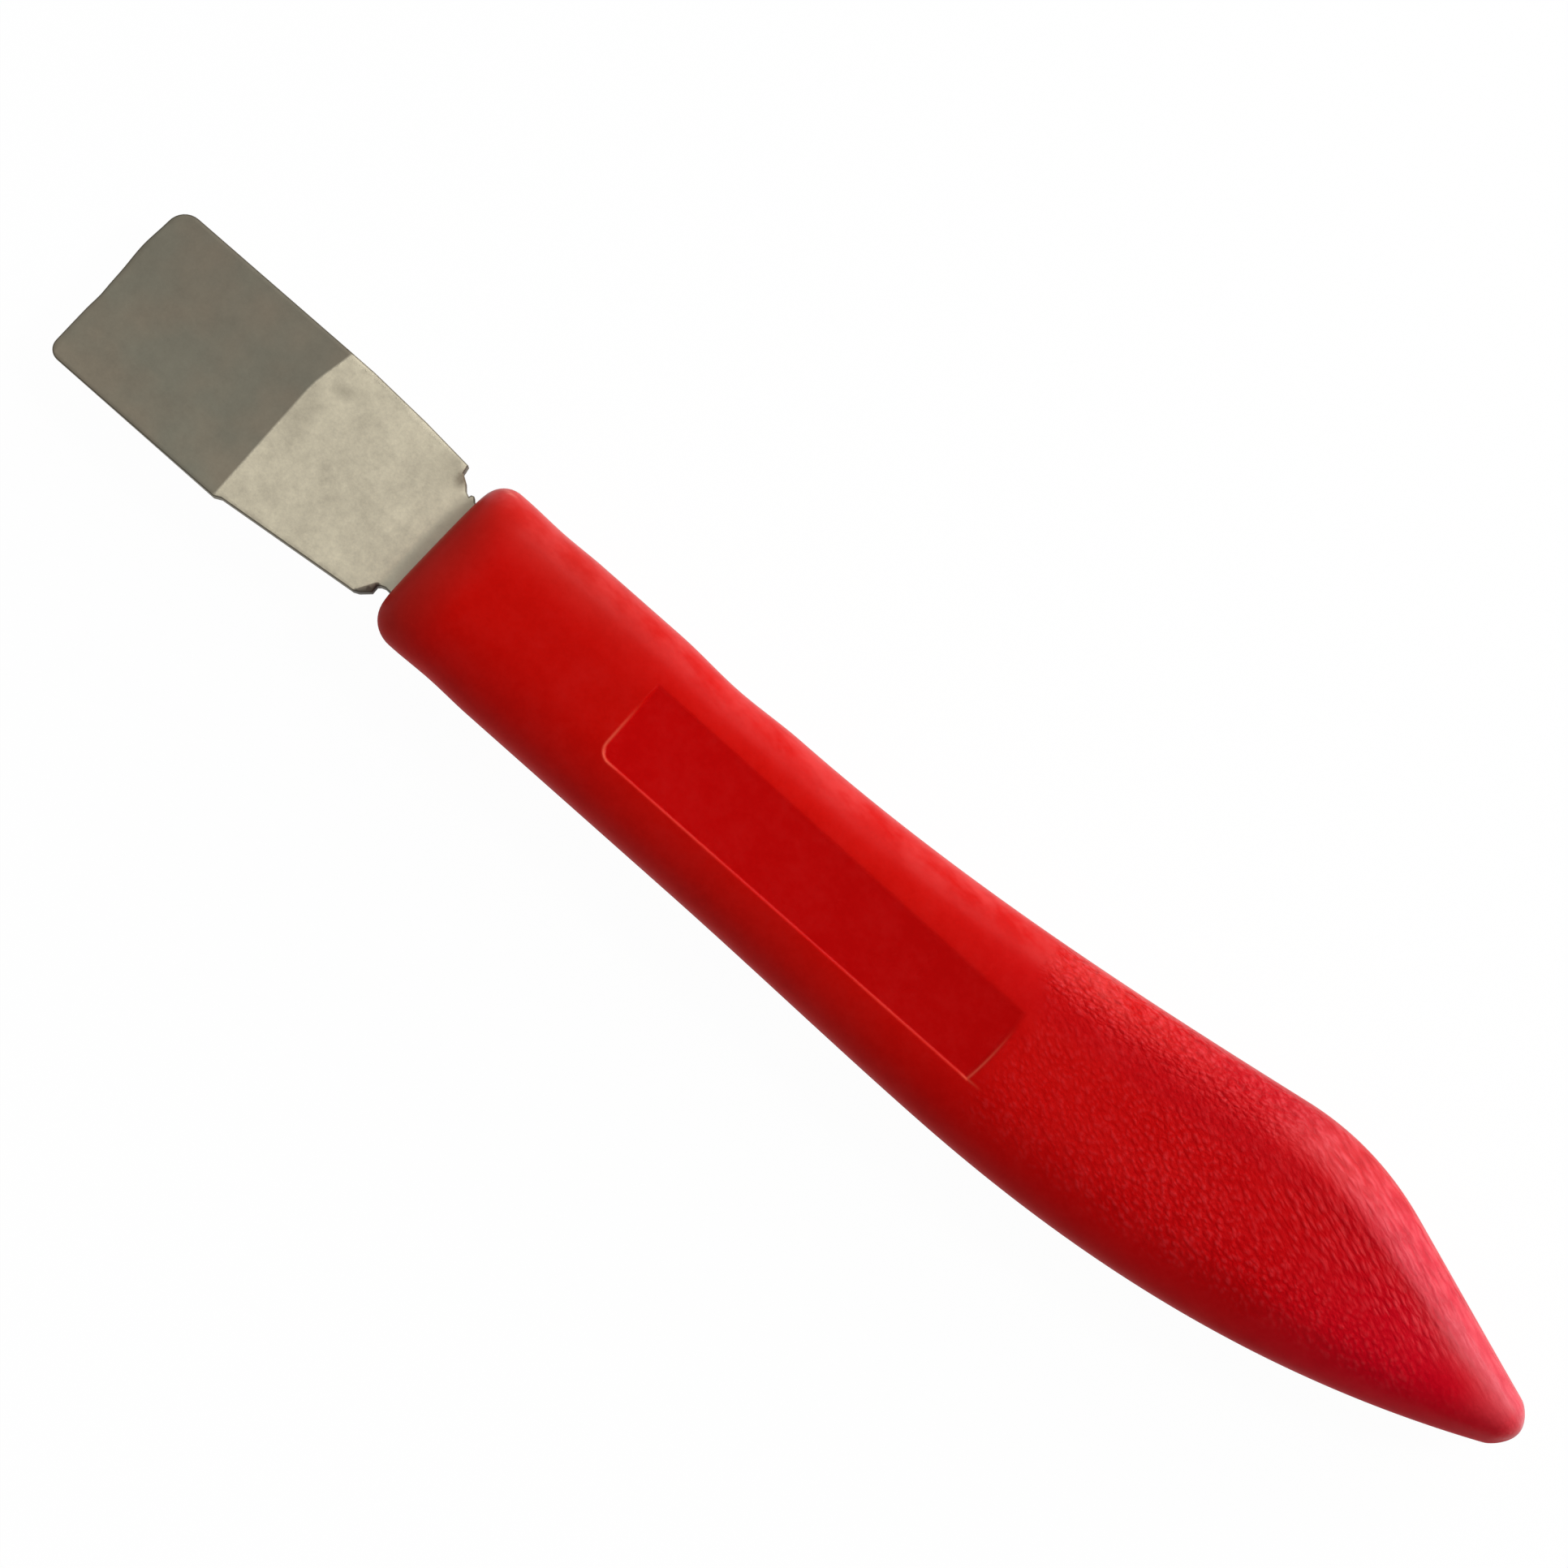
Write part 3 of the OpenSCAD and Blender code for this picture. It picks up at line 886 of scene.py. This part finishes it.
class Surface(Nodes):
    """A material with one shader, and patterns that are drawn in the object's own frame."""

    def __init__(self, name):
        self.material = bpy.data.materials.new(name)
        super().__init__(self.material)
        self.shader = self.nodes["Principled BSDF"]
        self.place = self.add("ShaderNodeTexCoord", {}).outputs["Object"]

    def mark(self, name):
        """A number that the piece's points carry."""
        return self.add("ShaderNodeAttribute", {}, attribute_name=name).outputs["Fac"]

    def turned(self, angle, stretch, place=None):
        """Place on the object, for patterns drawn out along a line at an angle to the tool's length."""
        inputs = {
            "Vector": place or self.place,
            "Rotation": (0, 0, math.radians(angle)),
            "Scale": (stretch, 1, 1),
        }
        return self.add("ShaderNodeMapping", inputs, vector_type="TEXTURE").outputs["Vector"]

    def vector(self, operation, inputs):
        return self.add("ShaderNodeVectorMath", inputs, operation=operation).outputs[0]

    def stirred(self, size, reach):
        """Place on the object, shifted by up to about a reach in millimetres, so that cells look grown.

        Size is about that of the patches that shift together.
        """
        inputs = {"Vector": self.place, "Scale": 1 / (size * MM), "Detail": 2.0}
        shift = self.add("ShaderNodeTexNoise", inputs).outputs["Color"]
        centred = self.vector("SUBTRACT", {0: shift, 1: (0.5, 0.5, 0.5)})
        scaled = self.vector("SCALE", {0: centred, "Scale": reach * MM})
        return self.vector("ADD", {0: self.place, 1: scaled})

    def cells(self, size, place, softness):
        """Height of rounded pebbles about size millimetres across, from 0 in the cracks to 1 on top."""
        inputs = {"Vector": place, "Scale": 1 / (size * MM), "Smoothness": softness, "Randomness": 0.9}
        made = self.add("ShaderNodeTexVoronoi", inputs, feature="SMOOTH_F1", voronoi_dimensions="2D")
        return self.spread(made.outputs["Distance"], (0.1, 0.75), (1, 0))

    def noise(self, size, detail, rough, place=None):
        """Noise whose blotches are about size millimetres."""
        inputs = {
            "Vector": place or self.place,
            "Scale": 1 / (size * MM),
            "Detail": detail,
            "Roughness": rough,
        }
        return self.add("ShaderNodeTexNoise", inputs).outputs["Fac"]

    def times(self, a, b):
        return self.math("MULTIPLY", a, b)

    def average(self, a, b):
        return self.times(self.math("ADD", a, b), 0.5)

    def blend(self, share, a, b):
        """Number that goes from a to b."""
        return self.spread(share, (0, 1), (a, b))

    def mix(self, share, a, b):
        """Colour that goes from a to b. The node's sockets for colours have no names of their own."""
        made = self.add("ShaderNodeMix", {"Factor": share, 6: a, 7: b}, data_type="RGBA")
        return made.outputs[2]

    def bump(self, height, depth, normal=None):
        """Bump whose height, from 0 to 1, stands for a depth in millimetres."""
        inputs = {"Height": height, "Distance": depth * MM, "Strength": 1.0}
        if normal:
            inputs["Normal"] = normal
        return self.add("ShaderNodeBump", inputs).outputs["Normal"]

    def finish(self, **inputs):
        """The material, with its shader's inputs set."""
        for name, value in inputs.items():
            self.put(self.shader.inputs[name.replace("_", " ")], value)
        return self.material


def grain_height(s):
    """Height of the moulded grain, from 0 to 1.

    It is an even weave, drawn out to streaks at the nose, with scales on the +Y shoulder.
    """
    stirred = s.stirred(size=1.4, reach=0.5)
    pebbles = s.cells(0.5, s.turned(-18, 1.6, stirred), softness=0.5)
    ridges = s.cells(0.55, s.turned(-19, 2.8, stirred), softness=0.35)
    scales = s.cells(0.42, s.turned(6, 2.2, stirred), softness=0.25)
    folds = s.cells(0.55, s.turned(-19, 5, stirred), softness=0.3)
    blobs = s.spread(s.noise(0.6, detail=2, rough=0.45, place=s.turned(-20, 1.5)), (0.3, 0.7))
    lines = s.spread(s.noise(0.55, detail=2, rough=0.45, place=s.turned(-19, 3.4)), (0.3, 0.7))
    long = s.mark("long")
    plain = s.blend(long, s.average(pebbles, blobs), s.average(ridges, lines))
    lined = s.blend(long, s.average(scales, blobs), s.average(folds, lines))
    return s.blend(s.mark("shoulder"), plain, lined)


# Tints of the handle, laid over each other in this order: mark, strength and tone
RED_TINTS = (
    ("keel", 1.0, (196, 14, 8)),
    # Painted shade: a dark band beside the +Y slope of the rear
    ("painted_shade_band", 0.5, (165, 0, 14)),
    # Painted shade: the rim of the +Y side darker and more crimson where it turns down
    ("rim", 0.35, (150, 12, 36)),
    # Painted shade on the front rim, and a painted broad dull sheen on the front of the +Y slope
    ("front", 0.6, (162, 40, 32)),
    # Painted highlight on the nose
    ("tip", 0.16, (225, 140, 150)),
    # Painted sheen beside the hump
    ("gloss_and_painted_sheen", 0.3, (200, 60, 80)),
)


def handle_red(s, height, grain, haze, mottle, specks):
    """Colour of the moulding. Places along the tool are in metres from the middle of the handle."""
    along = s.axis(s.place, "X")
    grip = s.mix(s.spread(along, (-0.01, 0.055)), colour(189, 6, 0), colour(183, 0, 10))
    red = s.mix(s.spread(along, (0.04, 0.056)), grip, colour(189, 0, 24))
    for mark, strength, tone in RED_TINTS:
        red = s.mix(s.times(s.mark(mark), strength), red, colour(*tone))
    floor_red = s.mix(s.spread(along, (-0.044, 0.005)), colour(188, 0, 0), colour(172, 0, 0))
    red = s.mix(s.mark("panel"), red, floor_red)

    # Clouds and specks of the plastic
    red = s.mix(s.spread(haze, (0.3, 0.7), (0, 0.12)), red, colour(160, 0, 0))
    red = s.mix(s.spread(mottle, (0.3, 0.5), (0.15, 0)), red, colour(150, 0, 0))
    red = s.mix(s.spread(specks, (0.4, 0.65), (0, 0.08)), red, colour(140, 8, 5))
    red = s.mix(s.spread(mottle, (0.45, 0.7), (0, 0.09)), red, colour(216, 52, 50))
    # Painted sheen: pale blotches on the +Y slope
    blotch = s.noise(3.2, detail=3, rough=0.7, place=s.turned(-10, 1.8))
    painted_slope_sheen = s.times(s.spread(blotch, (0.4, 0.66), (0.02, 0.2)), s.mark("slope"))
    red = s.mix(painted_slope_sheen, red, colour(228, 100, 98))

    # Painted shade in the grain's cracks, painted highlights on its tops, and painted streaks on the crest
    painted_crack_shade = s.times(s.spread(height, (0.1, 0.45), (0.16, 0)), grain)
    red = s.mix(painted_crack_shade, red, colour(125, 0, 10))
    # Painted highlight on the grain's tops
    top = s.times(s.spread(height, (0.52, 0.9), (0, 0.17)), grain)
    red = s.mix(s.times(top, s.blend(s.mark("painted_shade_band"), 1, 0.5)), red, colour(223, 70, 78))
    # Painted highlight streaks along the crest
    painted_crest_highlight = s.times(s.spread(height, (0.3, 0.9), (0.05, 0.13)), s.mark("crest"))
    red = s.mix(painted_crest_highlight, red, colour(252, 150, 160))

    # Painted highlight along the panel's edge, and a worn scuff on the front's corner
    red = s.mix(s.times(s.mark("panel_edge_highlight"), 0.85), red, colour(212, 88, 66))
    return s.mix(s.times(s.mark("scuff"), 0.5), red, colour(226, 130, 118))


def handle_material():
    """Matt red plastic, with a moulded grain over the rear."""
    s = Surface("red_moulding")
    haze = s.noise(9, detail=3, rough=0.6)
    mottle = s.noise(4, detail=5, rough=0.9)
    specks = s.noise(0.35, detail=2, rough=0.6)
    grain = s.mark("grain")
    panel = s.mark("panel")
    height = grain_height(s)
    red = handle_red(s, height, grain, haze, mottle, specks)

    worn = s.spread(haze, (0.3, 0.7), (0.32, 0.37))
    flank = s.math("MULTIPLY_ADD", s.mark("flank"), 0.25, worn)
    level = s.math("SUBTRACT", flank, s.times(panel, 0.08))
    rough = s.math("SUBTRACT", level, s.times(s.mark("gloss_and_painted_sheen"), 0.08))
    fine = s.bump(s.times(specks, s.blend(panel, 1, 0.4)), depth=0.006)
    relief = s.bump(s.times(height, grain), depth=0.08, normal=fine)
    return s.finish(Base_Color=red, Roughness=rough, Normal=relief, Specular_IOR_Level=0.05)


def steel_material():
    """Satin steel, darker and smoother on the ground bevel. Places across the tool are in metres."""
    s = Surface("satin_steel")
    ground = s.mark("ground")
    across = s.axis(s.place, "Y")
    mottle = s.noise(5, detail=5, rough=0.9)
    fine = s.noise(0.4, detail=3, rough=0.6)
    clouds = s.noise(6, detail=2, rough=0.5)

    flat = s.mix(s.spread(mottle, (0.3, 0.7)), colour(228, 220, 197), colour(195, 187, 167))
    flat = s.mix(s.times(s.mark("smudge"), 0.6), flat, colour(160, 152, 133))
    # Painted light and shade on the neck over the handle's cast shadow: lighter on -Y, darker on +Y
    neck = s.mix(s.spread(across, (-0.005, 0.005)), colour(226, 228, 208), colour(189, 183, 163))
    flat = s.mix(s.mark("neck"), flat, neck)
    bevel = s.mix(s.spread(clouds, (0.35, 0.65)), colour(171, 160, 140), colour(163, 159, 141))
    # Painted reflection: the bevel is lighter at its -Y side and darker towards +Y
    bevel = s.mix(s.spread(across, (-0.0105, 0.0095), (0, 0.35)), bevel, colour(124, 115, 102))
    bevel = s.mix(s.spread(mottle, (0.3, 0.7), (0, 0.3)), bevel, colour(108, 103, 92))
    steel = s.mix(ground, flat, bevel)
    # Painted shade darkens the blunted edge
    steel = s.mix(s.times(s.mark("edge"), 0.8), steel, colour(80, 72, 60))
    steel = s.mix(s.times(s.mark("burr"), 0.75), steel, colour(98, 80, 62))
    # Painted shade darkens the worn facet
    steel = s.mix(s.times(s.mark("facet"), 0.8), steel, colour(84, 79, 72))

    rough = s.blend(ground, 0.65, 0.42)
    grit = s.bump(s.times(fine, s.blend(ground, 1, 0.3)), depth=0.008)
    return s.finish(Base_Color=steel, Metallic=1.0, Roughness=rough, Normal=grit)


# Pieces

handle = build_handle()
handle.data.materials.append(handle_material())
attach(handle, "root")
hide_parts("handle")

blade = build_blade()
blade.data.materials.append(steel_material())
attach(blade, "root")
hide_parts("blade")


# Camera, straight from above but for a small tilt towards the lower edge of the picture

TURN = math.radians(41.45)
TILT = math.radians(4)
VIEW_MM = 156.7
CAMERA_MM = 900
CENTRE = Vector((-27.9, 5.7, 7.5)) * MM

# Directions: off the table, and along it to the right and up in the picture
OFF_TABLE = Vector((0, 0, 1))
RIGHT = Vector((math.cos(TURN), math.sin(TURN), 0))
LEVEL_UP = Vector((-math.sin(TURN), math.cos(TURN), 0))


def facing(place, axes):
    """Placement of an object whose own X, Y and Z point along the axes."""
    turn = Matrix(axes).transposed().to_4x4()
    return Matrix.Translation(place) @ turn


def add_camera():
    """Camera whose picture is VIEW_MM wide at the tool."""
    back = OFF_TABLE * math.cos(TILT) - LEVEL_UP * math.sin(TILT)
    data = bpy.data.cameras.new("camera")
    data.sensor_width = 36
    data.lens = data.sensor_width * CAMERA_MM / VIEW_MM
    data.clip_start = 0.01
    camera = bpy.data.objects.new("camera", data)
    camera.matrix_world = facing(CENTRE + back * CAMERA_MM * MM, (RIGHT, back.cross(RIGHT), back))
    bpy.context.scene.collection.objects.link(camera)
    bpy.context.scene.camera = camera


add_camera()


# Light

def add_softbox(name, side, lift, distance, size, watts):
    """Area light that looks at the tool.

    Side is an angle in degrees from the picture's right, turning up. Lift is one from the table.
    Distance and size are in metres.
    """
    turn = math.radians(side)
    rise = math.radians(lift)
    level = RIGHT * math.cos(turn) + LEVEL_UP * math.sin(turn)
    towards = level * math.cos(rise) + OFF_TABLE * math.sin(rise)
    data = bpy.data.lights.new(name, "AREA")
    data.shape = "RECTANGLE"
    data.size = size[0]
    data.size_y = size[1]
    data.energy = watts
    lamp = bpy.data.objects.new(name, data)
    sideways = OFF_TABLE.cross(towards).normalized()
    lamp.matrix_world = facing(towards * distance, (sideways, towards.cross(sideways), towards))
    bpy.context.scene.collection.objects.link(lamp)


def add_dome(horizon, zenith):
    """White light from all round, with its strength at the horizon and straight above."""
    world = bpy.data.worlds.new("studio")
    bpy.context.scene.world = world
    n = Nodes(world)
    direction = n.add("ShaderNodeTexCoord", {}).outputs["Generated"]
    sky = n.nodes["Background"]
    n.put(sky.inputs["Color"], (1, 1, 1, 1))
    n.put(sky.inputs["Strength"], n.spread(n.axis(direction, "Z"), (0, 1), (horizon, zenith)))


add_softbox("key", side=5, lift=50, distance=1.4, size=(0.3, 0.3), watts=7.5)
add_softbox("side", side=30, lift=15, distance=1.2, size=(0.8, 0.3), watts=10.5)
add_softbox("fill", side=65, lift=60, distance=1.4, size=(1.8, 1.8), watts=3.2)
add_softbox("glint", side=55, lift=36, distance=1.3, size=(0.35, 0.35), watts=3.0)
add_dome(horizon=0.36, zenith=0.27)


# Floor

def floor_material(white_share):
    """Table that looks white to the camera and in shiny surfaces, but for a share that shows shadow."""
    material = bpy.data.materials.new("pale_table")
    n = Nodes(material)
    n.nodes.remove(n.nodes["Principled BSDF"])
    path = n.add("ShaderNodeLightPath", {}).outputs
    mirrored = n.math("MAXIMUM", path["Is Glossy Ray"], path["Is Transmission Ray"])
    seen = n.math("MAXIMUM", path["Is Camera Ray"], mirrored)
    matt = n.add("ShaderNodeBsdfDiffuse", {"Color": (0.9, 0.9, 0.9, 1)}).outputs["BSDF"]
    glow = n.add("ShaderNodeEmission", {}).outputs["Emission"]
    cover = n.add("ShaderNodeMixShader", {0: n.math("MULTIPLY", seen, white_share), 1: matt, 2: glow})
    n.put(n.nodes["Material Output"].inputs["Surface"], cover.outputs["Shader"])
    return material


def build_floor():
    """Plain table, a hair below the tool so that the two faces don't fight where they touch."""
    size = 3.0
    z = -0.02 * MM
    mesh = bpy.data.meshes.new("floor")
    corners = [(-size, -size, z), (size, -size, z), (size, size, z), (-size, size, z)]
    mesh.from_pydata(corners, [], [(0, 1, 2, 3)])
    mesh.materials.append(floor_material(white_share=0.975))
    floor = bpy.data.objects.new("floor", mesh)
    bpy.context.scene.collection.objects.link(floor)


build_floor()

bpy.context.scene.view_settings.view_transform = "Standard"
